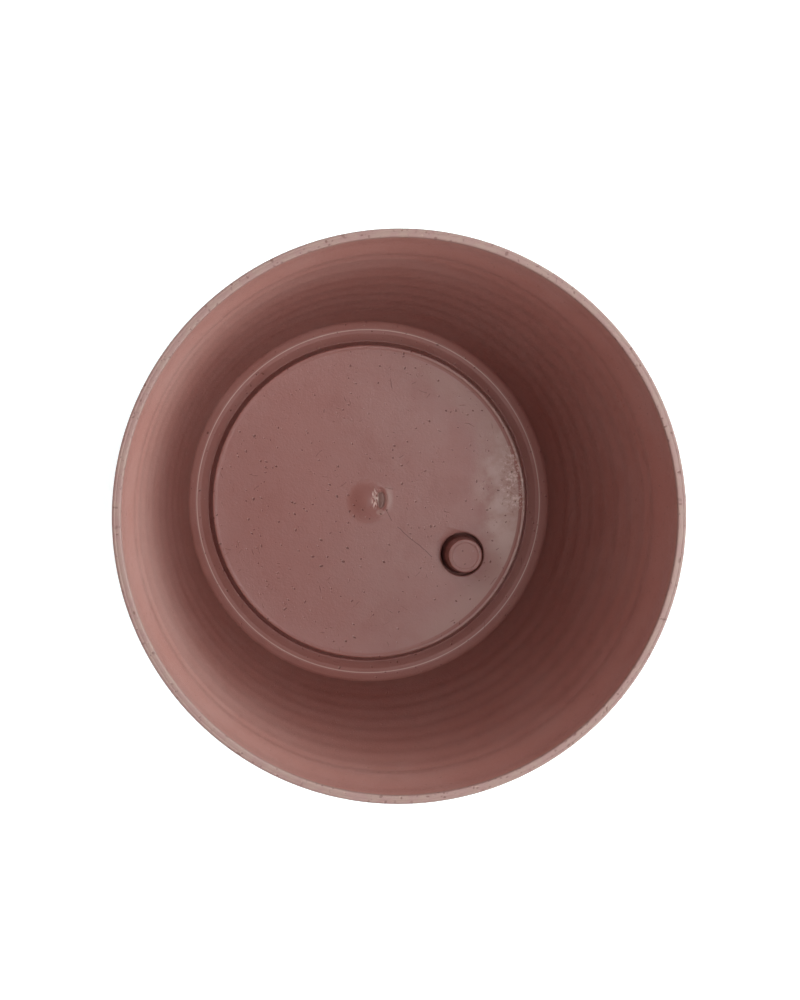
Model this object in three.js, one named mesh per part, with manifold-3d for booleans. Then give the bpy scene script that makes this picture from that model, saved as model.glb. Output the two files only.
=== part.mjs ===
// Round tapered plant pot with a lift-out drain plug.
// Millimetres, +Z up. The origin is the centre of the standing ring, on the surface the pot stands on.

import * as THREE from 'three';
import { mergeVertices } from 'three/addons/utils/BufferGeometryUtils.js';
import Module from 'manifold-3d';

// Overall form
const RIM_RADIUS = 75;
const POT_HEIGHT = 135;
const FOOT_RADIUS = 54;
const WALL = 2.3;
const LIP_FLAT = 0.9;

// Rings round the wall, between a plain band under the lip and one above the foot
const LIP_BAND = 18.2;
const FOOT_BAND = 16;
const RING_COUNT = 8;
const RING_RISE_OUTSIDE = 0.7;
const RING_SINK_INSIDE = 0.32;

// Standing ring, and the moat inside it, which rises outwards to a narrow ledge and a fillet up to the wall
const FOOT_ROUND = 1.2;
const MOAT_BOTTOM = 2;
const MOAT_WIDTH = 3.3;
const LEDGE_RISE = 1.6;
const LEDGE_WIDTH = 0.4;
const WALL_FILLET = 5.6;
const WALL_FILLET_END = 60;

// Raised floor disc, with a low bead round its edge
const DISC_TOP = 7.2;
const DISC_THICKNESS = 2.4;
const DISC_ROUND = 0.4;
const DISC_SIDE_RUN = 1.25;
const DISC_FOOT_FILLET = 0.3;
const BEAD_RISE = 0.25;
const BEAD_WIDTH = 1.4;

// Gate mark: a low mound at the centre of the disc, with the pit where the sprue broke off
const MOUND_RADIUS = 7;
const MOUND_RISE = 0.9;
const PIT_LENGTH = 6;
const PIT_WIDTH = 3.8;
const PIT_DEPTH = 0.6;
const PIT_OFFSET_X = 2.5;
const PIT_OFFSET_Y = 0.4;

// Drain: a round well sunk into the disc, with the hole through its bottom
const DRAIN_INSET = 14.4;
const DRAIN_ANGLE = THREE.MathUtils.degToRad(-29.6);
const WELL_RADIUS = 6.1;
const WELL_WALL = 1.8;
const WELL_FLOOR = 2;
const WELL_EDGE = 0.9;
const WELL_ABOVE_GROUND = 0.8;

// Drain plug: gaps to the well and the hole, then its own sizes. Its head is a finger grip that tapers upwards.
const HEAD_GAP = 0.3;
const SEAT_WIDTH = 2.2;
const SEAT_GAP = 0.3;
const SHANK_GAP = 0.3;
const SHANK_ABOVE_GROUND = 0.4;
const SHANK_CHAMFER = 0.5;
const HEAD_PROUD = 10.5;
const HEAD_ROUND = 0.4;
const GRIP_SUNK = 0.6;
const GRIP_DRAFT = 0.9;
const DISH_RIM = 1;
const DISH_DEPTH = 0.3;
const DISH_SLOPE = 0.5;

// Facets
const POT_SEGMENTS = 64;
const PLUG_SEGMENTS = 48;
const ARC_STEPS = 3;
const MOUND_STEPS = 4;
const RING_STEPS_OUTSIDE = 4;
const RING_STEPS_INSIDE = 2;
const PIT_SEGMENTS = 16;
const CUT_OVERSHOOT = 1;

// Sizes that follow from those above
const taper = (RIM_RADIUS - FOOT_RADIUS) / POT_HEIGHT;
const lean = THREE.MathUtils.radToDeg(Math.atan(taper));
const outerRadius = (z) => FOOT_RADIUS + taper * z;
const innerRadius = (z) => outerRadius(z) - WALL;
const ringPitch = (POT_HEIGHT - LIP_BAND - FOOT_BAND) / RING_COUNT;
const lipRound = (WALL - LIP_FLAT) / 2;

const ledgeZ = MOAT_BOTTOM + LEDGE_RISE;
const filletEnd = THREE.MathUtils.degToRad(WALL_FILLET_END);
const filletZ = ledgeZ + WALL_FILLET * Math.sin(filletEnd);
const filletR = innerRadius(filletZ) - WALL_FILLET * Math.hypot(1, taper);
const ledge = filletR + WALL_FILLET * Math.cos(filletEnd);
const discFoot = ledge - MOAT_WIDTH;
const discRadius = discFoot - DISC_SIDE_RUN;
const discUnder = DISC_TOP - DISC_THICKNESS;
const moundHeight = (r) => MOUND_RISE * (1 + Math.cos(Math.PI * r / MOUND_RADIUS)) / 2;

const drainX = (discRadius - DRAIN_INSET) * Math.cos(DRAIN_ANGLE);
const drainY = (discRadius - DRAIN_INSET) * Math.sin(DRAIN_ANGLE);
const wellBottom = WELL_ABOVE_GROUND + WELL_FLOOR;
const headRadius = WELL_RADIUS - HEAD_GAP;
const holeRadius = headRadius - SEAT_WIDTH;

const wasm = await Module();
wasm.setup();

const point = (r, z) => new THREE.Vector2(r, z);

// Points of a round from one angle to another about a centre
function arc(centreR, centreZ, radius, fromDegrees, toDegrees) {
  const points = [];
  for (let i = 0; i <= ARC_STEPS; i += 1) {
    const angle = THREE.MathUtils.degToRad(fromDegrees + (toDegrees - fromDegrees) * i / ARC_STEPS);
    points.push(point(centreR + radius * Math.cos(angle), centreZ + radius * Math.sin(angle)));
  }
  return points;
}

// Points of the wall's rings from the lowest up: each ring is one wave that swells outwards and comes back
function rings(radiusAt, swell, stepsPerRing) {
  const points = [];
  for (let i = 0; i <= RING_COUNT * stepsPerRing; i += 1) {
    const turns = i / stepsPerRing;
    const z = FOOT_BAND + turns * ringPitch;
    points.push(point(radiusAt(z) + swell * (1 - Math.cos(2 * Math.PI * turns)) / 2, z));
  }
  return points;
}

// A profile that starts and ends on the axis, turned about Z. LatheGeometry turns about Y, so it is stood up.
function revolve(profile, segments) {
  const geometry = new THREE.LatheGeometry(profile, segments);
  geometry.rotateX(Math.PI / 2);
  return geometry;
}

function toSolid(geometry) {
  const bare = geometry.clone();
  bare.deleteAttribute('normal');
  bare.deleteAttribute('uv');
  const merged = mergeVertices(bare, 1e-5);
  const mesh = new wasm.Mesh({
    numProp: 3,
    vertProperties: new Float32Array(merged.attributes.position.array),
    triVerts: new Uint32Array(merged.index.array),
  });
  return new wasm.Manifold(mesh);
}

function toGeometry(solid) {
  const mesh = solid.getMesh();
  const geometry = new THREE.BufferGeometry();
  geometry.setAttribute('position', new THREE.BufferAttribute(mesh.vertProperties, 3));
  geometry.setIndex(new THREE.BufferAttribute(mesh.triVerts, 1));
  geometry.computeVertexNormals();
  return geometry;
}

// The pot's half section: from the centre of the underside, up the outside, over the lip and down the inside
function potProfile() {
  const profile = [];

  // Recess under the disc, and the standing ring
  const recessFoot = discFoot - WALL;
  profile.push(point(0, discUnder));
  profile.push(point(recessFoot - DISC_SIDE_RUN, discUnder));
  profile.push(point(recessFoot, 0));
  profile.push(...arc(FOOT_RADIUS - FOOT_ROUND, FOOT_ROUND, FOOT_ROUND, -90, -lean));

  // Outside of the wall, the lip with its two rounded edges, and the inside of the wall
  profile.push(...rings(outerRadius, RING_RISE_OUTSIDE, RING_STEPS_OUTSIDE));
  const lipZ = POT_HEIGHT - lipRound;
  profile.push(...arc(RIM_RADIUS - lipRound, lipZ, lipRound, 0, 90));
  profile.push(...arc(RIM_RADIUS - WALL + lipRound, lipZ, lipRound, 90, 180));
  profile.push(...rings(innerRadius, RING_SINK_INSIDE, RING_STEPS_INSIDE).reverse());

  // Fillet at the foot of the wall, and the flat of the ledge
  profile.push(...arc(filletR, filletZ, WALL_FILLET, -lean, -WALL_FILLET_END));
  profile.push(point(ledge - LEDGE_WIDTH, ledgeZ));

  // Slope of the moat down to the disc's foot, the disc's side, its rounded edge and the bead
  profile.push(point(discFoot + DISC_FOOT_FILLET, MOAT_BOTTOM));
  profile.push(point(discFoot, MOAT_BOTTOM + DISC_FOOT_FILLET));
  const beadTop = DISC_TOP + BEAD_RISE;
  profile.push(...arc(discRadius - DISC_ROUND, beadTop - DISC_ROUND, DISC_ROUND, 0, 90));
  profile.push(point(discRadius - DISC_ROUND - BEAD_WIDTH, DISC_TOP));

  // Gate mound, as half a wave of a cosine
  for (let i = MOUND_STEPS; i >= 0; i -= 1) {
    const r = MOUND_RADIUS * i / MOUND_STEPS;
    profile.push(point(r, DISC_TOP + moundHeight(r)));
  }
  return profile;
}

function potBody() {
  const atDrain = new THREE.Matrix4().makeTranslation(drainX, drainY, 0);
  const drainSolid = (profile) => toSolid(revolve(profile, PLUG_SEGMENTS).applyMatrix4(atDrain));

  // Cup that hangs under the disc and holds the well
  const cupRadius = WELL_RADIUS + WELL_WALL;
  const cup = drainSolid([
    point(0, WELL_ABOVE_GROUND),
    point(cupRadius, WELL_ABOVE_GROUND),
    point(cupRadius, (discUnder + DISC_TOP) / 2),
    point(0, (discUnder + DISC_TOP) / 2),
  ]);

  // The well with its rounded edge, and the drain hole through its bottom
  const mouth = WELL_RADIUS + WELL_EDGE;
  const well = drainSolid([
    point(0, wellBottom),
    point(WELL_RADIUS, wellBottom),
    ...arc(mouth, DISC_TOP - WELL_EDGE, WELL_EDGE, 180, 90),
    point(mouth, DISC_TOP + CUT_OVERSHOOT),
    point(0, DISC_TOP + CUT_OVERSHOOT),
  ]);
  const hole = drainSolid([
    point(0, WELL_ABOVE_GROUND - CUT_OVERSHOOT),
    point(holeRadius, WELL_ABOVE_GROUND - CUT_OVERSHOOT),
    point(holeRadius, wellBottom + CUT_OVERSHOOT),
    point(0, wellBottom + CUT_OVERSHOOT),
  ]);

  // Oval pit of the broken sprue, sunk into the mound's side
  const pit = new THREE.SphereGeometry(1, PIT_SEGMENTS, PIT_SEGMENTS / 2);
  pit.scale(PIT_WIDTH / 2, PIT_LENGTH / 2, PIT_DEPTH);
  pit.translate(PIT_OFFSET_X, PIT_OFFSET_Y, DISC_TOP + moundHeight(Math.hypot(PIT_OFFSET_X, PIT_OFFSET_Y)));

  const solid = toSolid(revolve(potProfile(), POT_SEGMENTS))
    .add(cup)
    .subtract(well)
    .subtract(hole)
    .subtract(toSolid(pit));
  return toGeometry(solid);
}

// The plug, with its own origin where the head's underside meets the shank
function drainPlug() {
  const origin = wellBottom + SEAT_GAP;
  const headHeight = DISC_TOP + HEAD_PROUD - origin;
  const topRadius = headRadius - GRIP_DRAFT;
  const dishRadius = topRadius - DISH_RIM;
  const shankRadius = holeRadius - SHANK_GAP;
  const shankLength = origin - SHANK_ABOVE_GROUND;
  return revolve([
    point(0, -shankLength),
    point(shankRadius - SHANK_CHAMFER, -shankLength),
    point(shankRadius, SHANK_CHAMFER - shankLength),
    point(shankRadius, 0),
    point(headRadius, 0),
    point(headRadius, DISC_TOP - GRIP_SUNK - origin),
    ...arc(topRadius - HEAD_ROUND, headHeight - HEAD_ROUND, HEAD_ROUND, 0, 90),
    point(dishRadius, headHeight),
    point(dishRadius - DISH_SLOPE, headHeight - DISH_DEPTH),
    point(0, headHeight - DISH_DEPTH),
  ], PLUG_SEGMENTS);
}

function part(name, geometry) {
  const composite = new THREE.MeshStandardMaterial({ color: 0x8c625c, roughness: 0.5, metalness: 0 });
  const mesh = new THREE.Mesh(geometry, composite);
  mesh.name = name;
  return mesh;
}

const pot = new THREE.Group();
pot.name = 'planter_pot';
pot.add(part('pot_body', potBody()));

const plug = part('drain_plug', drainPlug());
plug.position.set(drainX, drainY, wellBottom + SEAT_GAP);
pot.add(plug);

export default pot;
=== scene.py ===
# A round tapered plant pot in a satin, fibre-flecked composite, seen from above, with its drain plug.

import math

import bmesh
import bpy
from mathutils import Matrix, Vector, noise

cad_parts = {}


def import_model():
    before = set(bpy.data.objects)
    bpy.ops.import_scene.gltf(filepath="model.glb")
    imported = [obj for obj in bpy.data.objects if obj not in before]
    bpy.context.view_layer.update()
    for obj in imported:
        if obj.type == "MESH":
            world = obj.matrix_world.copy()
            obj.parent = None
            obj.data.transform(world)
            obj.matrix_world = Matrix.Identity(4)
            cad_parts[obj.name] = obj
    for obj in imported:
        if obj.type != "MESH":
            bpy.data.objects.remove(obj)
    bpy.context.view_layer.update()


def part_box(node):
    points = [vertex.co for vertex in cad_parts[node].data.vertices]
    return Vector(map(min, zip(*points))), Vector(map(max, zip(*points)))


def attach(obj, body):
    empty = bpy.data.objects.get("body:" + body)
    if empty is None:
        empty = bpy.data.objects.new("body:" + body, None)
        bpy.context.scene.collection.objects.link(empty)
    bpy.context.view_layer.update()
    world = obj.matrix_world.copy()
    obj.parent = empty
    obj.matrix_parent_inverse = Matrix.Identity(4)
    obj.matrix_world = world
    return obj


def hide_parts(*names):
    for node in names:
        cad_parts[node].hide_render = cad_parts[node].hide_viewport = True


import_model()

MM = 0.001

# What the frame gives, in millimetres
pot_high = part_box("pot_body")[1] / MM
plug_low, plug_high = (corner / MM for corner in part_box("drain_plug"))
RIM_RADIUS = pot_high.x
POT_HEIGHT = pot_high.z
DRAIN = (plug_low + plug_high) / 2
PLUG_TOP = plug_high.z
PLUG_TIP = plug_low.z
HEAD_RADIUS = (plug_high.x - plug_low.x) / 2

# Pot wall and lip, in millimetres
FOOT_RADIUS = 54
WALL = 2.3
LIP_ROUND_OUTSIDE = 0.6
LIP_ROUND_INSIDE = 0.4
LIP_LINE_INSET = 0.9
LIP_LINE_WIDTH = 0.22
LIP_LINE_DEPTH = 0.05
LIP_BAND = 18.2
FOOT_BAND = 16
RING_COUNT = 8
RING_RISE_OUTSIDE = 0.7
RING_SINK_INSIDE = 0.32

# The inside of the plain band under the lip bows in, then out: heights, and how far out of true
LIP_BAND_BOW = ((104.2, 0), (108.2, 0.26), (114, -0.26), (125.5, 0.42), (133.8, 0))

# What lies round the floor disc, in millimetres, and the power by which the hollow curves
FOOT_ROUND = 1.2
MOAT_BOTTOM = 2.6
HOLLOW_WIDTH = 2.5
HOLLOW_RISE = 1.1
HOLLOW_CURVE = 1.15
SHELF_WIDTH = 1.65
SHELF_RISE = 0.5
SHELF_LINE = 1.07
RAMP_RISE = 0.6
WALL_FILLET = 1.8
WALL_FILLET_END = math.radians(62)

# The floor disc, in millimetres, and the lean of its side in degrees
DISC_FOOT = 46.5
DISC_TOP = 7.2
DISC_THICKNESS = 2.4
DISC_ROUND = 0.45
DISC_SIDE_RUN = 0.95
DISC_SIDE_LEAN = 9
DISC_FOOT_FILLET = 0.3
BEAD_RISE = 0.3
BEAD_TOP = 0.15
BEAD_WIDTH = 0.8
RECESS_RUN = 1.25
RECESS_ROUND = 0.5

# Gate mark at the centre of the floor disc, in millimetres
MOUND_RADIUS = 7
MOUND_RISE = 0.9
PIT = Vector((2.85, 0.65))
PIT_WIDTH = 4.1
PIT_LENGTH = 6.1
PIT_DEPTH = 0.45
PIT_RIM_RISE = 0.2
TORN_RISE = 0.3

# Well and plug, in millimetres, and the end of the dish's round in degrees
WELL_RADIUS = 6.25
WELL_WALL = 1.65
WELL_FLOOR = 2
WELL_EDGE = 0.45
WELL_FOOT_ROUND = 0.4
WELL_ABOVE_GROUND = 0.8
HOLE_RADIUS = 3.6
CUT_OVERSHOOT = 1
SHANK_GAP = 0.3
SHANK_CHAMFER = 0.5
SEAT_GAP = 0.3
FLANGE = 0.65
FLANGE_RISE = 0.8
GRIP_DRAFT = 0.25
GRIP_SUNK = 3.3
HEAD_FOOT_ROUND = 0.3
HEAD_ROUND = 0.35
DISH_RIM = 1.3
DISH_DEPTH = 0.12
DISH_SLOPE = 0.5
DISH_ROUND = 0.3
DISH_ROUND_END = 140

# Fineness of the meshes: steps, and lengths in millimetres
POT_STEPS = 320
WELL_STEPS = 144
PLUG_STEPS = 144
ARC_STEPS = 6
RING_STEPS_OUTSIDE = 6
RING_STEPS_INSIDE = 8
BOW_STEPS = 5
FILLET_STEPS = 10
EDGE_MARGIN = 0.08
HOLLOW_STEPS = 8
BEAD_STEPS = 4
MOUND_STEPS = 40
DISC_STEPS = 5
SPIN_MERGE = 0.001
CUT_MERGE = 0.002
SHARP_ANGLE = math.radians(40)

# Sizes that follow from those above
taper = (RIM_RADIUS - FOOT_RADIUS) / POT_HEIGHT
lean = math.atan(taper)
ring_pitch = (POT_HEIGHT - LIP_BAND - FOOT_BAND) / RING_COUNT
disc_under = DISC_TOP - DISC_THICKNESS
well_bottom = WELL_ABOVE_GROUND + WELL_FLOOR
shelf_low = MOAT_BOTTOM + HOLLOW_RISE
shelf_high = shelf_low + SHELF_RISE
ramp_top = shelf_high + RAMP_RISE
disc_radius = DISC_FOOT - DISC_SIDE_RUN
shelf_start = DISC_FOOT + HOLLOW_WIDTH
shelf_end = shelf_start + SHELF_WIDTH


def outer_radius(z):
    return FOOT_RADIUS + taper * z


def inner_radius(z):
    return outer_radius(z) - WALL


fillet_z = ramp_top + WALL_FILLET * math.sin(WALL_FILLET_END)
fillet_r = inner_radius(fillet_z) - WALL_FILLET / math.cos(lean)


def arc(centre_r, centre_z, radius, start, end, steps=ARC_STEPS):
    """Points of a round in the half section, from one angle in degrees to another."""
    points = []
    for i in range(steps + 1):
        angle = math.radians(start + (end - start) * i / steps)
        points.append((centre_r + radius * math.cos(angle), centre_z + radius * math.sin(angle)))
    return points


def held_flat(start, end):
    """The points just inside both ends of a straight stretch, so that its shading stays flat."""
    margin = EDGE_MARGIN / math.dist(start, end)
    return [tuple(Vector(start).lerp(Vector(end), share)) for share in (margin, 1 - margin)]


def half_wave(share):
    """From 0 to 1 as half a wave of a cosine."""
    return (1 - math.cos(math.pi * share)) / 2


def smooth_step(low, high, value):
    share = min(max((value - low) / (high - low), 0), 1)
    return share * share * (3 - 2 * share)


def wall_rings(radius_at, swell, steps_per_ring, count):
    """Points of the wall's rings, from the lowest up."""
    points = []
    for i in range(count * steps_per_ring + 1):
        turns = i / steps_per_ring
        z = FOOT_BAND + turns * ring_pitch
        points.append((radius_at(z) + swell * (1 - math.cos(2 * math.pi * turns)) / 2, z))
    return points


def lip_band_bow():
    """Points of the inside of the band under the lip, from the top ring up."""
    points = []
    for (low_z, low_bow), (high_z, high_bow) in zip(LIP_BAND_BOW, LIP_BAND_BOW[1:]):
        for i in range(1, BOW_STEPS + 1):
            share = i / BOW_STEPS
            z = low_z + (high_z - low_z) * share
            points.append((inner_radius(z) + low_bow + (high_bow - low_bow) * half_wave(share), z))
    return points


def mound_height(r):
    return MOUND_RISE * (1 + math.cos(math.pi * min(r / MOUND_RADIUS, 1))) / 2


def outside_outline():
    """Half section of the pot's underside and outside, from the axis to the top of the rings."""
    recess_foot = DISC_FOOT - WALL
    recess_top = recess_foot - RECESS_RUN
    outline = [(0, disc_under)]
    outline += arc(recess_top - RECESS_ROUND, disc_under - RECESS_ROUND, RECESS_ROUND, 90, 0)
    outline += arc(recess_foot + RECESS_ROUND, RECESS_ROUND, RECESS_ROUND, 180, 270)
    outline += arc(FOOT_RADIUS - FOOT_ROUND, FOOT_ROUND, FOOT_ROUND, -90, -math.degrees(lean))
    outline += wall_rings(outer_radius, RING_RISE_OUTSIDE, RING_STEPS_OUTSIDE, RING_COUNT)
    return outline


def lip_outline():
    """The lip, with the fine line that the mould's halves left between its round and its flat."""
    line_r = RIM_RADIUS - LIP_LINE_INSET
    outer, inner = LIP_ROUND_OUTSIDE, LIP_ROUND_INSIDE
    outline = arc(RIM_RADIUS - outer, POT_HEIGHT - outer, outer, 0, 90)
    outline.append((line_r + LIP_LINE_WIDTH / 2, POT_HEIGHT))
    outline.append((line_r, POT_HEIGHT - LIP_LINE_DEPTH))
    outline.append((line_r - LIP_LINE_WIDTH / 2, POT_HEIGHT))
    return outline + arc(RIM_RADIUS - WALL + inner, POT_HEIGHT - inner, inner, 90, 180)


def moat_outline():
    """The foot of the wall inside, then the ramp, the shelf and the hollow, down to the foot of the disc."""
    fillet_from = -math.degrees(lean)
    fillet_to = -math.degrees(WALL_FILLET_END)
    outline = arc(fillet_r, fillet_z, WALL_FILLET, fillet_from, fillet_to, FILLET_STEPS)
    outline += held_flat(outline[-1], (shelf_end, shelf_high))
    outline += held_flat((shelf_end, shelf_high), (shelf_start, shelf_low))
    foot_z = MOAT_BOTTOM + DISC_FOOT_FILLET
    foot = arc(DISC_FOOT + DISC_FOOT_FILLET, foot_z, DISC_FOOT_FILLET, -90, DISC_SIDE_LEAN - 180)
    hollow_width = shelf_start - foot[0][0]
    for i in range(HOLLOW_STEPS):
        share = i / HOLLOW_STEPS
        z = MOAT_BOTTOM + HOLLOW_RISE * (1 - share) ** HOLLOW_CURVE
        outline.append((shelf_start - hollow_width * share, z))
    return outline + foot


def disc_outline(foot):
    """The side of the disc from its foot, its rounded edge, its bead, its flat and the gate mound."""
    bead_z = DISC_TOP + BEAD_RISE
    edge = arc(disc_radius - DISC_ROUND, bead_z - DISC_ROUND, DISC_ROUND, DISC_SIDE_LEAN, 90)
    outline = held_flat(foot, edge[0]) + edge
    bead_r = disc_radius - DISC_ROUND - BEAD_TOP
    for i in range(BEAD_STEPS + 1):
        share = i / BEAD_STEPS
        outline.append((bead_r - BEAD_WIDTH * share, bead_z - BEAD_RISE * half_wave(share)))
    flat_edge = bead_r - BEAD_WIDTH
    for i in range(1, DISC_STEPS):
        outline.append((flat_edge + (MOUND_RADIUS - flat_edge) * i / DISC_STEPS, DISC_TOP))
    for i in range(MOUND_STEPS + 1):
        r = MOUND_RADIUS * (1 - i / MOUND_STEPS)
        outline.append((r, DISC_TOP + mound_height(r)))
    return outline


def pot_outline():
    """Half section of the pot, from the centre of its underside round to the centre of its floor."""
    outline = outside_outline() + lip_outline()
    inside = wall_rings(inner_radius, RING_SINK_INSIDE, RING_STEPS_INSIDE, RING_COUNT - 1) + lip_band_bow()
    outline += reversed(inside)
    outline += moat_outline()
    return outline + disc_outline(outline[-1])


def spun(outline, steps):
    """A bmesh of an outline turned once about Z. The outline starts and ends on the axis."""
    bm = bmesh.new()
    points = [bm.verts.new((r * MM, 0, z * MM)) for r, z in outline]
    edges = [bm.edges.new(pair) for pair in zip(points, points[1:])]
    bmesh.ops.spin(bm, geom=points + edges, axis=(0, 0, 1), cent=(0, 0, 0), angle=2 * math.pi,
                   steps=steps, use_merge=True)
    bmesh.ops.remove_doubles(bm, verts=bm.verts, dist=SPIN_MERGE * MM)
    bmesh.ops.recalc_face_normals(bm, faces=bm.faces)
    return bm


def finished(name, bm):
    """The bmesh as an object of the scene, smooth but for its sharp edges."""
    for face in bm.faces:
        face.smooth = True
    for edge in bm.edges:
        edge.smooth = edge.calc_face_angle(0) < SHARP_ANGLE
    mesh = bpy.data.meshes.new(name)
    bm.to_mesh(mesh)
    bm.free()
    piece = bpy.data.objects.new(name, mesh)
    bpy.context.scene.collection.objects.link(piece)
    return piece


def at_drain(outline, steps):
    """A bmesh of an outline turned about the drain hole's axis."""
    bm = spun(outline, steps)
    bmesh.ops.translate(bm, verts=bm.verts, vec=(DRAIN.x * MM, DRAIN.y * MM, 0))
    return bm


def cut(piece, tool, operation):
    """Joins a tool to a piece or cuts it out, and takes the tool away."""
    modifier = piece.modifiers.new(operation, "BOOLEAN")
    modifier.operation = operation
    modifier.solver = "EXACT"
    modifier.object = tool
    graph = bpy.context.evaluated_depsgraph_get()
    mesh = bpy.data.meshes.new_from_object(piece.evaluated_get(graph))
    piece.modifiers.clear()
    piece.data = mesh
    bpy.data.objects.remove(tool)


# How far the walls and the disc stray from true, and over what length, in millimetres
WALL_SWAY = 0.12
RING_UNEVEN = 0.04
SWAY_LENGTH = 34
DISC_SWAY = 0.05
DISC_SWAY_LENGTH = 17

# How far below the rim the walls are true again, and how far inside its edge the disc and its bead are
LIP_TRUE = 2
DISC_EDGE_TRUE = 4
BEAD_REACH = 2

# Shares by which the rings inside and the disc's bead die away towards -X, where the moulding has shrunk
RING_FADE = 0.6
BEAD_FADE = 0.8

# Points less than this far under the disc's flat, in millimetres, still belong to its upper face
DISC_FACE_MARGIN = 0.1

# The gate mark's parts, as shares of the way from the pit's middle to its rim
PIT_RIM_SHARE = 0.13
PIT_SUNK_SIDE = -0.3, 0.6
PIT_WALL = 0.6, 1
TORN_FADE = 0.7, 1.1

# Ridges of the torn strands per millimetre, across and along them
TORN_RIDGES = 3.1, 0.9


def ring_at(z):
    """How far the rings inside swell the wall at a height."""
    turns = (z - FOOT_BAND) / ring_pitch
    return RING_SINK_INSIDE * half_wave(2 * turns) if 0 < turns < RING_COUNT - 1 else 0


def wall_stray(x, y, z):
    """How far a point of the wall moves out, in millimetres."""
    r = math.hypot(x, y)
    sway = WALL_SWAY * noise.noise(Vector((x, y, z)) / SWAY_LENGTH)
    ripple = RING_UNEVEN * noise.noise(Vector((x / SWAY_LENGTH, y / SWAY_LENGTH, z / ring_pitch)))
    if r < outer_radius(z) - WALL / 2:
        ripple -= ring_at(z) * RING_FADE * (1 - x / r) / 2
    hold = 1 - smooth_step(POT_HEIGHT - LIP_BAND / 2, POT_HEIGHT - LIP_TRUE, z)
    return (sway + ripple) * hold


def disc_stray(x, y, z):
    """How far a point of the disc's upper face moves up, for the broken sprue's pit and a slight sag."""
    r = math.hypot(x, y)
    across = (x - PIT.x) / (PIT_WIDTH / 2)
    along = (y - PIT.y) / (PIT_LENGTH / 2)
    reach = math.hypot(across, along)
    sunk_side = smooth_step(*PIT_SUNK_SIDE, across)
    rim = PIT_RIM_RISE * math.exp(-((reach - 1) / PIT_RIM_SHARE) ** 2) * sunk_side
    pit = PIT_DEPTH * (1 - smooth_step(*PIT_WALL, reach)) * sunk_side
    ridges = noise.noise(Vector((x * TORN_RIDGES[0], y * TORN_RIDGES[1], 0)))
    torn = TORN_RISE * ridges * (1 - smooth_step(*TORN_FADE, reach)) * (1 - sunk_side)
    sag = DISC_SWAY * noise.noise(Vector((x, y, 0)) / DISC_SWAY_LENGTH)
    sag *= 1 - smooth_step(disc_radius - DISC_EDGE_TRUE, disc_radius - DISC_ROUND, r)
    bead = max(z - DISC_TOP, 0) * smooth_step(MOUND_RADIUS, disc_radius - BEAD_REACH, r)
    bead *= BEAD_FADE * (1 - x / max(r, 1)) / 2
    return rim - pit + torn + sag - bead


def mould_marks(bm):
    """Moves the pot's points to where a real moulding has them."""
    for vert in bm.verts:
        x, y, z = vert.co / MM
        r = math.hypot(x, y)
        if r > DISC_FOOT and z > DISC_TOP:
            share = (r + wall_stray(x, y, z)) / r
            vert.co.x *= share
            vert.co.y *= share
        elif r < disc_radius and z > DISC_TOP - DISC_FACE_MARGIN:
            vert.co.z += disc_stray(x, y, z) * MM


def pot_body():
    bm = spun(pot_outline(), POT_STEPS)
    mould_marks(bm)
    piece = finished("pot_shell", bm)

    # The cup that hangs under the disc, its well and the hole through its floor
    cup_radius = WELL_RADIUS + WELL_WALL
    in_disc = disc_under + WELL_EDGE
    round_r, round_z = cup_radius - WELL_FOOT_ROUND, WELL_ABOVE_GROUND + WELL_FOOT_ROUND
    cup = [(0, WELL_ABOVE_GROUND)]
    cup += arc(round_r, round_z, WELL_FOOT_ROUND, -90, 0)
    cup += [(cup_radius, in_disc), (0, in_disc)]
    cut(piece, finished("cup", at_drain(cup, WELL_STEPS)), "UNION")

    mouth = WELL_RADIUS + WELL_EDGE
    well = [(0, well_bottom)]
    well += arc(WELL_RADIUS - WELL_FOOT_ROUND, well_bottom + WELL_FOOT_ROUND, WELL_FOOT_ROUND, -90, 0)
    well += arc(mouth, DISC_TOP - WELL_EDGE, WELL_EDGE, 180, 90)
    well += [(mouth, DISC_TOP + CUT_OVERSHOOT), (0, DISC_TOP + CUT_OVERSHOOT)]
    cut(piece, finished("well", at_drain(well, WELL_STEPS)), "DIFFERENCE")

    hole_low, hole_high = WELL_ABOVE_GROUND - CUT_OVERSHOOT, well_bottom + CUT_OVERSHOOT
    hole = [(0, hole_low), (HOLE_RADIUS, hole_low), (HOLE_RADIUS, hole_high), (0, hole_high)]
    cut(piece, finished("hole", at_drain(hole, WELL_STEPS)), "DIFFERENCE")

    shell = bmesh.new()
    shell.from_mesh(piece.data)
    bpy.data.objects.remove(piece)
    bmesh.ops.remove_doubles(shell, verts=shell.verts, dist=CUT_MERGE * MM)
    bmesh.ops.dissolve_degenerate(shell, edges=shell.edges, dist=CUT_MERGE * MM)
    return finished("pot_shell", shell)


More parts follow.
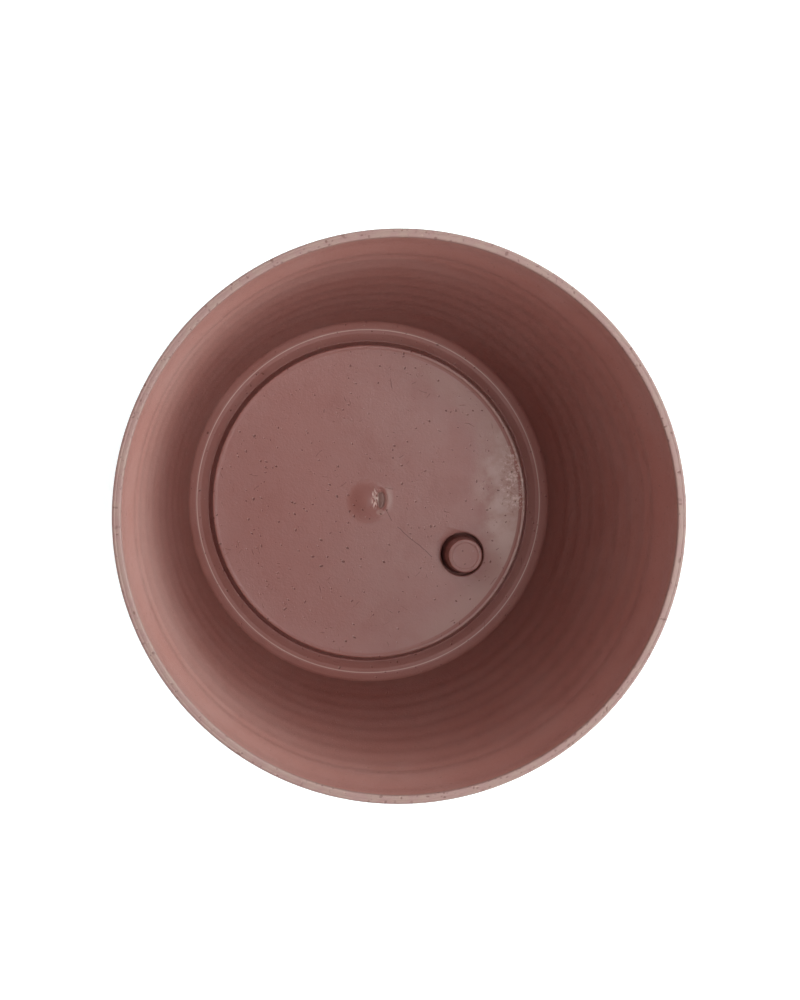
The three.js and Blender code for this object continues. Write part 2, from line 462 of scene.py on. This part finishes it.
def drain_plug():
    shank = HOLE_RADIUS - SHANK_GAP
    seat = well_bottom + SEAT_GAP
    flange_z = DISC_TOP - GRIP_SUNK
    grip_foot = HEAD_RADIUS - FLANGE
    top_radius = grip_foot - GRIP_DRAFT
    dish = top_radius - DISH_RIM
    dish_foot = dish - DISH_SLOPE
    outline = [(0, PLUG_TIP), (shank - SHANK_CHAMFER, PLUG_TIP), (shank, PLUG_TIP + SHANK_CHAMFER)]
    outline.append((shank, seat))
    outline += arc(HEAD_RADIUS - HEAD_FOOT_ROUND, seat + HEAD_FOOT_ROUND, HEAD_FOOT_ROUND, -90, 0)
    outline += [(HEAD_RADIUS, flange_z), (grip_foot, flange_z + FLANGE_RISE)]
    outline += arc(top_radius - HEAD_ROUND, PLUG_TOP - HEAD_ROUND, HEAD_ROUND, 0, 90)
    outline += arc(dish + DISH_ROUND, PLUG_TOP - DISH_ROUND, DISH_ROUND, 90, DISH_ROUND_END)
    outline += [(r, PLUG_TOP - DISH_DEPTH) for r in (dish_foot, dish_foot - DISH_ROUND, 0)]
    return finished("plug_turned", at_drain(outline, PLUG_STEPS))


# Colours, and what is the same all over both finishes
ROSE = (0.295, 0.116, 0.097, 1)
ROSE_GREY = (0.308, 0.135, 0.116, 1)
ROSE_DEEP = (0.255, 0.092, 0.075, 1)
ROSE_RED = (0.315, 0.104, 0.084, 1)
SPECK_DARK = (0.075, 0.016, 0.013, 1)
# Painted highlight beside each dark speck
FLANK_HIGHLIGHT = (0.470, 0.280, 0.240, 1)
# Pale paint, laid as painted sheen on the disc's +X side, beside the pit and on the disc's +X edge, and on
# the nub
PALE_AND_SHEEN = (0.460, 0.302, 0.265, 1)
SCUFF_ROSE = (0.219, 0.118, 0.106, 1)
SCUFF_TAN = (0.229, 0.135, 0.115, 1)
# The torn strands' pale, also laid as painted highlight on the shelf's line and on the wrinkles' ridges
TORN_PALE_AND_GLINT = (0.780, 0.580, 0.520, 1)
PIT_GREY = (0.235, 0.140, 0.120, 1)
PLUG_ROSE = (0.240, 0.088, 0.073, 1)
ROUGHNESS = 0.28
SPECULAR = 0.2
IOR = 1.5
BUMP_STRENGTH = 0.35
BUMP_DISTANCE = 0.00012

# Clouds of tone, by the lengths in metres of their drift and their grain
DRIFT_CLOUD = {"Drift size": 0.035, "Grain size": 0.0007}
BLOTCH_CLOUD = {"Drift size": 0.011, "Grain size": 0.004}
DISC_CLOUD = {"Drift size": 0.006, "Grain size": 0.0011}

# Spans of a cloud's value over which a tone sets in
GREY_SPAN = 0.35, 0.68
BLOTCH_SPAN = 0.5, 0.75
WORN_SPAN = 0.42, 0.6
SHEEN_SPAN = 0.2, 0.65
STRAND_SPAN = 0.44, 0.58
LIT_RIDGE_SPAN = 0.54, 0.6
SHADED_FURROW_SPAN = 0.45, 0.39

# How strongly each mark is painted, what it adds to the roughness and how far it is raised for the bump
STRENGTH = {
    "blotches": 0.4, "flanks": 0.3, "fibres": 0.4, "specks": 0.7, "scuff": 0.9, "chips": 0.65, "line": 0.4,
    "red side": 0.6, "painted_sheen": 0.95, "pale edge": 0.4, "crease": 0.8, "strands": 0.9, "hairs": 0.55,
    "wrinkles": 0.45, "plug": 0.8, "dull_and_shade": 0.1, "dish": 0.4,
}
ROUGHER = {"grain": 0.35, "blotches": 0.12, "scuff": 0.2, "dull_and_shade": 0.5}
RAISED = {"patches": 1.6, "flanks": 0.8, "fibres": 0.6, "specks": -1.5, "chips": -1.2, "strands": 2}

# The flecks, by their mean spacing and radius in metres, how long they are and how many cells have one
SPECKS = {"Cell": 0.0018, "Size": 0.00023, "Stretch": 1.5, "Share": 0.4}
SPECK_FLANKS = {"Cell": 0.0018, "Size": 0.0002, "Stretch": 1.5, "Share": 0.4}
FIBRES = {"Cell": 0.0011, "Size": 0.00013, "Stretch": 16.0, "Share": 0.4}
CHIPS = {"Cell": 0.0016, "Size": 0.0003, "Stretch": 1.6, "Share": 0.75}

# The way from a dark speck to its lit flank, in metres
FLANK = (0.0003, -0.0003, 0.0001)

# The flecks lie in three layers, each turned another way, in radians
FLECK_TURNS = ((0.15, 0.1, 0.35), (-0.1, 0.2, 1.4), (0.1, -0.15, 2.45))

# How far the flecks bend and over what length, in metres
FLECK_BEND = 0.0022
FLECK_BEND_LENGTH = 0.004

# The smallest fleck as a share of the mean, its solid core as a share of its radius, and the faintest
FLECK_SMALLEST = 0.5
FLECK_CORE = 0.6
FLECK_FAINTEST = 0.35

# Heights in metres between which the lip's scuff sets in, and the one that divides the disc's two faces
SCUFF_FROM = 0.1336
SCUFF_TO = 0.1346
DISC_MIDDLE = 0.006

# Heights in metres between which the plug grows dull, and darker as painted shade, down in its well
DULL_SHADE_FROM = 0.009
DULL_SHADE_TO = 0.0065

# Ovals in plan, in metres: middle and half size, then how soft the edge is as a share of the size
DISH = (DRAIN.x * MM, DRAIN.y * MM), (0.0033, 0.0033), 0.3
TORN = (0.0016, 0.0010), (0.0010, 0.0027), 0.6
# Painted sheen: a pale patch on the disc's +X side
SHEEN_SPOT = (0.0440, 0.0040), (0.0110, 0.0240), 0.9
WRINKLES = (0.0425, 0.0070), (0.0040, 0.0100), 0.8
DRAIN_SHADE = (0.0330, -0.0180), (0.0050, 0.0060), 1.4
# Painted shade on the gate mound's left flank
MOUND_SHADE = (-0.0018, 0.0), (0.0030, 0.0037), 0.8
PIT_SHEEN = (0.0057, 0.0011), (0.0011, 0.0028), 1.4
PIT_FLOOR = (0.0034, 0.0005), (0.0012, 0.0024), 0.3
NUB = (0.0032, -0.0031), (0.0012, 0.0008), 0.5

# Those of one plain colour, in the order in which they are laid: oval, strength and colour
PLAIN_OVALS = (
    (DRAIN_SHADE, 0.45, ROSE_DEEP),
    (MOUND_SHADE, 0.25, ROSE_DEEP),
    (PIT_SHEEN, 0.4, PALE_AND_SHEEN),
    (PIT_FLOOR, 0.85, PIT_GREY),
    (NUB, 0.4, PALE_AND_SHEEN),
)

# The redder side of the disc, and its +X edge painted paler as painted light: spans of X or of the radius, in
# metres
RED_SIDE = 0.015, -0.03
LIT_SIDE_SPAN = 0.005, 0.03
LIT_EDGE_SPAN = 0.034, 0.043

# Painted shade in the crease inside the disc's bead, on the +X side: radius, half width and span of X
CREASE_RADIUS = 0.0442
CREASE_HALF = 0.00065
CREASE_SIDE = 0, 0.025

# A painted highlight: the pale line round the shelf, in metres
SHELF_GLINT_RADIUS = (shelf_start + SHELF_LINE) * MM
SHELF_GLINT_HALF = 0.00014

# Stray hairs on the disc, by their ends in plan, in metres
HAIRS = (
    ((0.0046, -0.0021), (0.0066, -0.0056)),
    ((0.0081, -0.0074), (0.0185, -0.0161)),
    ((0.0368, -0.0140), (0.0378, -0.0134)),
)

# Their width and sway in metres, and their waves per metre
HAIR_WIDTH = 0.00018
HAIR_SWAY = 0.0012
HAIR_WAVES = 260.0

# Waves per metre of the torn strands at the gate, across and along them
STRAND_WAVES = (2100, 700, 0)


class Graph:
    """Short calls for wiring a node tree."""

    def __init__(self, tree):
        self.tree = tree

    def put(self, socket, value):
        """Links a value to a socket where it is one itself, and otherwise sets it there."""
        if isinstance(value, bpy.types.NodeSocket):
            self.tree.links.new(value, socket)
        else:
            socket.default_value = value

    def node(self, kind, inputs=None, **settings):
        node = self.tree.nodes.new(kind)
        for name, value in settings.items():
            setattr(node, name, value)
        for name, value in (inputs or {}).items():
            self.put(node.inputs[name], value)
        return node

    def group(self, tree, inputs):
        return self.node("ShaderNodeGroup", inputs, node_tree=tree)

    def noise(self, inputs):
        return self.node("ShaderNodeTexNoise", inputs)

    def math(self, operation, first, second=0.0, clamp=False):
        node = self.node("ShaderNodeMath", {0: first, 1: second}, operation=operation, use_clamp=clamp)
        return node.outputs[0]

    def vector(self, operation, first, second=None):
        inputs = {0: first} if second is None else {0: first, 1: second}
        return self.node("ShaderNodeVectorMath", inputs, operation=operation)

    def mix(self, factor, first, second):
        inputs = {0: factor, 6: first, 7: second}
        return self.node("ShaderNodeMix", inputs, data_type="RGBA").outputs[2]

    def paint(self, under, mask, strength, colour):
        """Lays a colour over another where the mask says."""
        return self.mix(self.math("MULTIPLY", mask, strength), under, colour)

    def plus(self, total, mask, share, clamp=False):
        """Adds a share of a mask."""
        return self.math("ADD", total, self.math("MULTIPLY", mask, share), clamp)

    def away(self, value, middle):
        """How far a value is from another, either way."""
        return self.math("ABSOLUTE", self.math("SUBTRACT", value, middle))

    def ramp(self, value, low, high):
        """0 below low, 1 above high and smooth between; also falls, where low is above high."""
        inputs = {"Value": value, "From Min": low, "From Max": high}
        node = self.node("ShaderNodeMapRange", inputs, interpolation_type="SMOOTHSTEP")
        return node.outputs[0]

    def heights(self, place):
        """How high each point lies."""
        return self.node("ShaderNodeSeparateXYZ", {"Vector": place}).outputs["Z"]


def new_group(name, inputs, outputs):
    """A node group with its inputs, by name, kind and value, and its outputs, which are all plain numbers."""
    group = bpy.data.node_groups.new(name, "ShaderNodeTree")
    for socket, kind, value in inputs:
        made = group.interface.new_socket(socket, in_out="INPUT", socket_type=kind)
        if value is not None:
            made.default_value = value
    for socket in outputs:
        group.interface.new_socket(socket, in_out="OUTPUT", socket_type="NodeSocketFloat")
    graph = Graph(group)
    return graph, graph.node("NodeGroupInput").outputs, graph.node("NodeGroupOutput").inputs


def flecks_group():
    """Short husk fibres and round specks, as a mask."""
    inputs = [
        ("Vector", "NodeSocketVector", None),
        ("Cell", "NodeSocketFloat", 0.003),
        ("Size", "NodeSocketFloat", 0.0002),
        ("Stretch", "NodeSocketFloat", 4.0),
        ("Share", "NodeSocketFloat", 0.5),
    ]
    graph, given, result = new_group("Husk flecks", inputs, ["Mask"])
    wander = graph.noise({"Vector": given["Vector"], "Scale": 1 / FLECK_BEND_LENGTH, "Detail": 1.0})
    wander = graph.node("ShaderNodeVectorMath", {0: wander.outputs["Color"], "Scale": FLECK_BEND},
                        operation="SCALE")
    bent = graph.vector("ADD", given["Vector"], wander.outputs[0]).outputs[0]
    masks = []
    for turn in FLECK_TURNS:
        turned = graph.node("ShaderNodeVectorRotate", {"Vector": bent, "Rotation": turn},
                            rotation_type="EULER_XYZ").outputs[0]
        squeeze = graph.math("DIVIDE", 1, given["Stretch"])
        squeeze = graph.node("ShaderNodeCombineXYZ", {"X": squeeze, "Y": 1.0, "Z": 1.0})
        squeezed = graph.vector("MULTIPLY", turned, squeeze.outputs[0]).outputs[0]
        rate = graph.math("DIVIDE", 1, given["Cell"])
        cells = graph.node("ShaderNodeTexVoronoi", {"Vector": squeezed, "Scale": rate, "Randomness": 1.0},
                           feature="F1")
        draw = graph.node("ShaderNodeSeparateColor", {"Color": cells.outputs["Color"]}).outputs
        radius = graph.math("DIVIDE", given["Size"], given["Cell"])
        radius = graph.math("MULTIPLY", radius, graph.math("ADD", draw["Green"], FLECK_SMALLEST))
        core = graph.math("MULTIPLY", radius, FLECK_CORE)
        inside = graph.ramp(cells.outputs["Distance"], radius, core)
        chosen = graph.math("LESS_THAN", draw["Red"], given["Share"])
        strength = graph.math("ADD", FLECK_FAINTEST, draw["Blue"])
        strength = graph.math("MULTIPLY", chosen, strength, clamp=True)
        masks.append(graph.math("MULTIPLY", inside, strength))
    most = graph.math("MAXIMUM", graph.math("MAXIMUM", masks[0], masks[1]), masks[2])
    graph.put(result["Mask"], most)
    return graph.tree


def cloud_group():
    """Slow drift of tone through the moulding and its fine satin grain."""
    inputs = [
        ("Vector", "NodeSocketVector", None),
        ("Drift size", "NodeSocketFloat", 0.03),
        ("Grain size", "NodeSocketFloat", 0.0006),
    ]
    graph, given, result = new_group("Moulding drift", inputs, ["Drift", "Grain"])
    for name, detail, roughness in (("Drift", 4.0, 0.55), ("Grain", 5.0, 0.65)):
        rate = graph.math("DIVIDE", 1, given[name + " size"])
        cloud = graph.noise({"Vector": given["Vector"], "Scale": rate, "Detail": detail,
                             "Roughness": roughness})
        graph.put(result[name], cloud.outputs[0])
    return graph.tree


FLECKS_TREE = flecks_group()
CLOUD_TREE = cloud_group()


def flecks(graph, place, layer):
    return graph.group(FLECKS_TREE, {"Vector": place, **layer}).outputs["Mask"]


def cloud(graph, place, lengths):
    """The drift and the grain of a cloud of tone."""
    made = graph.group(CLOUD_TREE, {"Vector": place, **lengths})
    return made.outputs["Drift"], made.outputs["Grain"]


def oval(graph, place, mark):
    """1 inside an oval in plan and 0 beyond it."""
    (x, y), (half_x, half_y), soft = mark
    moved = graph.vector("SUBTRACT", place, (x, y, 0)).outputs[0]
    scaled = graph.vector("MULTIPLY", moved, (1 / half_x, 1 / half_y, 0)).outputs[0]
    reach = graph.vector("LENGTH", scaled).outputs["Value"]
    return graph.ramp(reach, 1 + soft / 2, 1 - soft / 2)


def hair(graph, place, ends):
    """1 along a thin wavy line in plan."""
    start, end = (Vector((x, y, 0)) for x, y in ends)
    length = (end - start).length
    way = (end - start) / length
    side = Vector((-way.y, way.x, 0))
    moved = graph.vector("SUBTRACT", place, start).outputs[0]
    along = graph.vector("DOT_PRODUCT", moved, way).outputs["Value"]
    across = graph.vector("DOT_PRODUCT", moved, side).outputs["Value"]
    wave = graph.noise({"Vector": place, "Scale": HAIR_WAVES, "Detail": 1.0}).outputs[0]
    across = graph.plus(across, graph.math("SUBTRACT", wave, 0.5), HAIR_SWAY)
    near = graph.ramp(graph.math("ABSOLUTE", across), HAIR_WIDTH, HAIR_WIDTH / 3)
    begun = graph.ramp(along, 0, HAIR_WIDTH)
    unended = graph.ramp(along, length, length - HAIR_WIDTH)
    return graph.math("MULTIPLY", near, graph.math("MULTIPLY", begun, unended))


def floor_marks(graph, place, colour):
    """The moat's painted highlight line and what the floor disc shows, painted light and shade among it:
    colour, and height for the bump.
    """
    axes = graph.node("ShaderNodeSeparateXYZ", {"Vector": place}).outputs
    flat = graph.vector("MULTIPLY", place, (1, 1, 0)).outputs[0]
    span = graph.vector("LENGTH", flat).outputs["Value"]
    upper = graph.math("GREATER_THAN", axes["Z"], DISC_MIDDLE)
    disc = graph.math("MULTIPLY", upper, graph.math("LESS_THAN", span, disc_radius * MM))

    def on_disc(mask):
        return graph.math("MULTIPLY", mask, disc)

    # The painted highlight line round the shelf
    line = graph.away(span, SHELF_GLINT_RADIUS)
    line = graph.ramp(line, SHELF_GLINT_HALF * 1.5, SHELF_GLINT_HALF * 0.5)
    line = graph.math("MULTIPLY", line, graph.math("LESS_THAN", axes["Z"], ramp_top * MM))
    colour = graph.paint(colour, line, STRENGTH["line"], TORN_PALE_AND_GLINT)

    # The disc's redder side; painted sheen on its +X side and painted light on its +X edge; painted shade in
    # the crease inside its bead
    red_side = on_disc(graph.ramp(axes["X"], *RED_SIDE))
    colour = graph.paint(colour, red_side, STRENGTH["red side"], ROSE_RED)
    drift, grain = cloud(graph, place, DISC_CLOUD)
    # Painted sheen: a pale patch on the disc's +X side
    painted_sheen = graph.math("MULTIPLY", oval(graph, place, SHEEN_SPOT), graph.ramp(drift, *SHEEN_SPAN))
    colour = graph.paint(colour, on_disc(painted_sheen), STRENGTH["painted_sheen"], PALE_AND_SHEEN)
    # Painted light: the disc's +X edge painted paler
    painted_lit_edge = graph.math("MULTIPLY", graph.ramp(span, *LIT_EDGE_SPAN), graph.ramp(axes["X"], *LIT_SIDE_SPAN))
    colour = graph.paint(colour, on_disc(painted_lit_edge), STRENGTH["pale edge"], PALE_AND_SHEEN)
    # Painted shade: a dark line in the crease inside the bead
    crease = graph.ramp(graph.away(span, CREASE_RADIUS), CREASE_HALF, CREASE_HALF / 2)
    crease = graph.math("MULTIPLY", crease, graph.ramp(axes["X"], *CREASE_SIDE))
    colour = graph.paint(colour, on_disc(crease), STRENGTH["crease"], ROSE_DEEP)
    for mark, strength, paint in PLAIN_OVALS:
        colour = graph.paint(colour, on_disc(oval(graph, place, mark)), strength, paint)

    # The torn strands at the gate, then the hairs
    strands = graph.vector("MULTIPLY", place, STRAND_WAVES).outputs[0]
    strands = graph.noise({"Vector": strands, "Scale": 1.0, "Detail": 3.0}).outputs[0]
    strands = graph.math("MULTIPLY", graph.ramp(strands, *STRAND_SPAN), oval(graph, place, TORN))
    strands = on_disc(strands)
    colour = graph.paint(colour, strands, STRENGTH["strands"], TORN_PALE_AND_GLINT)
    hairs = 0.0
    for ends in HAIRS:
        hairs = graph.math("MAXIMUM", hairs, hair(graph, place, ends))
    colour = graph.paint(colour, on_disc(hairs), STRENGTH["hairs"], SPECK_DARK)

    # The wrinkles by the disc's +X edge, as painted highlight on their ridges and painted shade in their
    # furrows
    creased = oval(graph, place, WRINKLES)
    for grain_span, paint in ((LIT_RIDGE_SPAN, TORN_PALE_AND_GLINT), (SHADED_FURROW_SPAN, ROSE_DEEP)):
        wrinkles = graph.math("MULTIPLY", creased, graph.ramp(grain, *grain_span))
        colour = graph.paint(colour, on_disc(wrinkles), STRENGTH["wrinkles"], paint)
    return colour, graph.math("MULTIPLY", strands, RAISED["strands"])


def pot_wear_and_painted_light(graph, place, patches, colour, rough, level):
    """The lip's scuff with its chips, and the marks on the floor, painted light and shade among them."""
    scuff = graph.ramp(graph.heights(place), SCUFF_FROM, SCUFF_TO)
    scuff = graph.math("MULTIPLY", scuff, STRENGTH["scuff"])
    worn = graph.mix(graph.ramp(patches, *WORN_SPAN), SCUFF_ROSE, SCUFF_TAN)
    colour = graph.mix(scuff, colour, worn)
    chips = graph.math("MULTIPLY", flecks(graph, place, CHIPS), scuff)
    colour = graph.paint(colour, chips, STRENGTH["chips"], SPECK_DARK)
    level = graph.plus(level, chips, RAISED["chips"])
    rough = graph.plus(rough, scuff, ROUGHER["scuff"])
    colour, marks = floor_marks(graph, place, colour)
    return colour, rough, graph.math("ADD", level, marks)


def plug_tone_and_painted_shade(graph, place, patches, colour, rough, level):
    """The plug's deeper rose, its dullness and painted shade round its foot down in the well, and its darker
    dish.
    """
    dull_and_shade = graph.ramp(graph.heights(place), DULL_SHADE_FROM, DULL_SHADE_TO)
    rough = graph.plus(rough, dull_and_shade, ROUGHER["dull_and_shade"], clamp=True)
    colour = graph.mix(STRENGTH["plug"], colour, PLUG_ROSE)
    # Painted shade: the plug darkens down in its well
    colour = graph.paint(colour, dull_and_shade, STRENGTH["dull_and_shade"], SPECK_DARK)
    colour = graph.paint(colour, oval(graph, place, DISH), STRENGTH["dish"], ROSE_DEEP)
    return colour, rough, level


def composite(name, marks_and_painted_light):
    """Satin husk composite: drifts of rose with dark flecks and painted highlights beside them, over each
    piece's own marks and painted light.
    """
    material = bpy.data.materials.new(name)
    material.use_nodes = True
    material.node_tree.nodes.clear()
    graph = Graph(material.node_tree)
    place = graph.node("ShaderNodeTexCoord").outputs["Object"]

    drift, grain = cloud(graph, place, DRIFT_CLOUD)
    blotches, patches = cloud(graph, place, BLOTCH_CLOUD)
    colour = graph.mix(graph.ramp(drift, *GREY_SPAN), ROSE, ROSE_GREY)
    deep = graph.ramp(blotches, *BLOTCH_SPAN)
    colour = graph.paint(colour, deep, STRENGTH["blotches"], ROSE_DEEP)
    grain = graph.math("SUBTRACT", grain, 0.5)
    rough = graph.plus(ROUGHNESS, grain, ROUGHER["grain"])
    rough = graph.plus(rough, blotches, ROUGHER["blotches"])
    level = graph.plus(grain, patches, RAISED["patches"])
    colour, rough, level = marks_and_painted_light(graph, place, patches, colour, rough, level)

    # Each dark speck has a painted highlight beside it, its lit flank, which the bump also raises a little
    beside = graph.vector("ADD", place, FLANK).outputs[0]
    layers = (
        ("flanks", beside, SPECK_FLANKS, FLANK_HIGHLIGHT),
        ("fibres", place, FIBRES, SPECK_DARK),
        ("specks", place, SPECKS, SPECK_DARK),
    )
    for kind, where, layer, paint in layers:
        mask = flecks(graph, where, layer)
        colour = graph.paint(colour, mask, STRENGTH[kind], paint)
        level = graph.plus(level, mask, RAISED[kind])
    bump = graph.node("ShaderNodeBump", {"Height": level, "Strength": BUMP_STRENGTH,
                                         "Distance": BUMP_DISTANCE})

    shader = graph.node("ShaderNodeBsdfPrincipled", {"Base Color": colour, "Roughness": rough,
                                                     "Normal": bump.outputs[0], "IOR": IOR,
                                                     "Specular IOR Level": SPECULAR})
    graph.node("ShaderNodeOutputMaterial", {"Surface": shader.outputs[0]})
    return material


def dressed(piece, material):
    piece.data.materials.clear()
    piece.data.materials.append(material)


# Stage and light, in metres. On a sky of radius 1, SKY_LIT is the height below which it is lit, and
# SKY_DARK the one above which it is dark
FLOOR_SIZE = 8
FLOOR_DROP = 0.0003
FLOOR_WHITE = 0.82
FLOOR_LIFT = 0.45
SKY_DARK = 0.81
SKY_LIT = 0.49
WORLD_LIGHT = 0.98
LAMP_COLOUR = (0.93, 1.0, 1.01)
KEY_COLOUR = (0.73, 1.18, 1.22)

# Name, azimuth and elevation in degrees, distance, width and height in metres, watts
LAMPS = (
    ("key", 0, 24, 1.5, 1.1, 0.42, 18.5),
    ("key_left", 45, 24, 1.5, 1.1, 0.42, 9),
    ("key_right", -45, 24, 1.5, 1.1, 0.42, 5.2),
    ("high_left", 30, 42, 1.5, 0.9, 0.4, 3.8),
    ("high_right", -30, 42, 1.5, 0.9, 0.4, 2),
    ("side_left", 90, 46, 1.5, 0.9, 0.4, 0.9),
    ("side_right", -90, 46, 1.5, 0.9, 0.4, 0.8),
    ("upper_front", 0, 58, 1.5, 0.6, 0.4, 1),
    ("upper_right", -60, 58, 1.5, 0.6, 0.4, 2.2),
    ("upper_back_left", 120, 58, 1.5, 0.6, 0.4, 2.4),
    ("upper_back_right", -120, 58, 1.5, 0.6, 0.4, 2.2),
    ("top", -10, 75, 1.6, 0.4, 0.4, 8.4),
    ("top_left", 40, 75, 1.6, 0.4, 0.4, 4.6),
    ("top_right", -90, 75, 1.6, 0.4, 0.4, 1),
)


def seen_rays(graph):
    """1 for the rays that show a background, which are the camera's and those through gloss or glass."""
    path = graph.node("ShaderNodeLightPath")
    shown = graph.math("ADD", path.outputs["Is Camera Ray"], path.outputs["Is Glossy Ray"])
    return graph.math("ADD", shown, path.outputs["Is Transmission Ray"], clamp=True)


def floor():
    bm = bmesh.new()
    bmesh.ops.create_grid(bm, x_segments=1, y_segments=1, size=FLOOR_SIZE / 2)
    bmesh.ops.translate(bm, verts=bm.verts, vec=(0, 0, -FLOOR_DROP))
    piece = finished("studio_floor", bm)
    material = bpy.data.materials.new("studio_white")
    material.use_nodes = True
    material.node_tree.nodes.clear()
    graph = Graph(material.node_tree)
    white = (FLOOR_WHITE, FLOOR_WHITE, FLOOR_WHITE, 1)
    matt = graph.node("ShaderNodeBsdfDiffuse", {"Color": white})
    strength = graph.math("MULTIPLY", seen_rays(graph), FLOOR_LIFT)
    lift = graph.node("ShaderNodeEmission", {"Strength": strength})
    both = graph.node("ShaderNodeAddShader", {0: matt.outputs[0], 1: lift.outputs[0]})
    graph.node("ShaderNodeOutputMaterial", {"Surface": both.outputs[0]})
    dressed(piece, material)


def world():
    scene = bpy.context.scene
    scene.world = bpy.data.worlds.new("studio")
    scene.world.use_nodes = True
    scene.world.node_tree.nodes.clear()
    graph = Graph(scene.world.node_tree)
    direction = graph.node("ShaderNodeTexCoord").outputs["Generated"]
    lit = graph.math("MULTIPLY", graph.ramp(graph.heights(direction), SKY_DARK, SKY_LIT), WORLD_LIGHT)
    strength = graph.math("MAXIMUM", lit, seen_rays(graph))
    sky = graph.node("ShaderNodeBackground", {"Color": (1, 1, 1, 1), "Strength": strength})
    graph.node("ShaderNodeOutputWorld", {"Surface": sky.outputs[0]})


def soft_lamp(name, azimuth, elevation, distance, width, height, power):
    """A rectangular soft lamp aimed at the pot's mouth. Azimuth 0 is +X, and width runs level."""
    lamp = bpy.data.lights.new(name, "AREA")
    lamp.shape = "RECTANGLE"
    lamp.size = width
    lamp.size_y = height
    lamp.energy = power
    lamp.color = KEY_COLOUR if name.startswith("key") else LAMP_COLOUR
    piece = bpy.data.objects.new(name, lamp)
    a, e = math.radians(azimuth), math.radians(elevation)
    towards = Vector((math.cos(e) * math.cos(a), math.cos(e) * math.sin(a), math.sin(e)))
    aim = Vector((0, 0, POT_HEIGHT * MM))
    piece.location = aim + towards * distance
    piece.rotation_euler = towards.to_track_quat("Z", "Y").to_euler()
    piece.visible_camera = False
    bpy.context.scene.collection.objects.link(piece)


# The camera stands 1.07 m above the rim, a little to the left and above the pot's axis in the picture
CAMERA_PLACE = Vector((-0.0766, 0.0374, 1.2017))
CAMERA_AIM = Vector((-0.0002, 0.00441, 0.135))
FOCAL_PIXELS = 4114
PICTURE_HEIGHT = 1000
SENSOR = 24


def camera():
    data = bpy.data.cameras.new("camera")
    data.sensor_fit = "VERTICAL"
    data.sensor_height = SENSOR
    data.lens = SENSOR * FOCAL_PIXELS / PICTURE_HEIGHT
    piece = bpy.data.objects.new("camera", data)
    forward = (CAMERA_AIM - CAMERA_PLACE).normalized()
    right = forward.cross(Vector((0, 1, 0))).normalized()
    up = right.cross(forward)
    turn = Matrix((right, up, -forward)).transposed()
    piece.matrix_world = Matrix.Translation(CAMERA_PLACE) @ turn.to_4x4()
    bpy.context.scene.collection.objects.link(piece)
    bpy.context.scene.camera = piece


shell = pot_body()
dressed(shell, composite("pot_composite", pot_wear_and_painted_light))
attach(shell, "pot")
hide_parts("pot_body")

plug = drain_plug()
dressed(plug, composite("plug_composite", plug_tone_and_painted_shade))
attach(plug, "plug")
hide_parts("drain_plug")

floor()
world()
for lamp in LAMPS:
    soft_lamp(*lamp)
camera()
bpy.context.scene.view_settings.view_transform = "Standard"
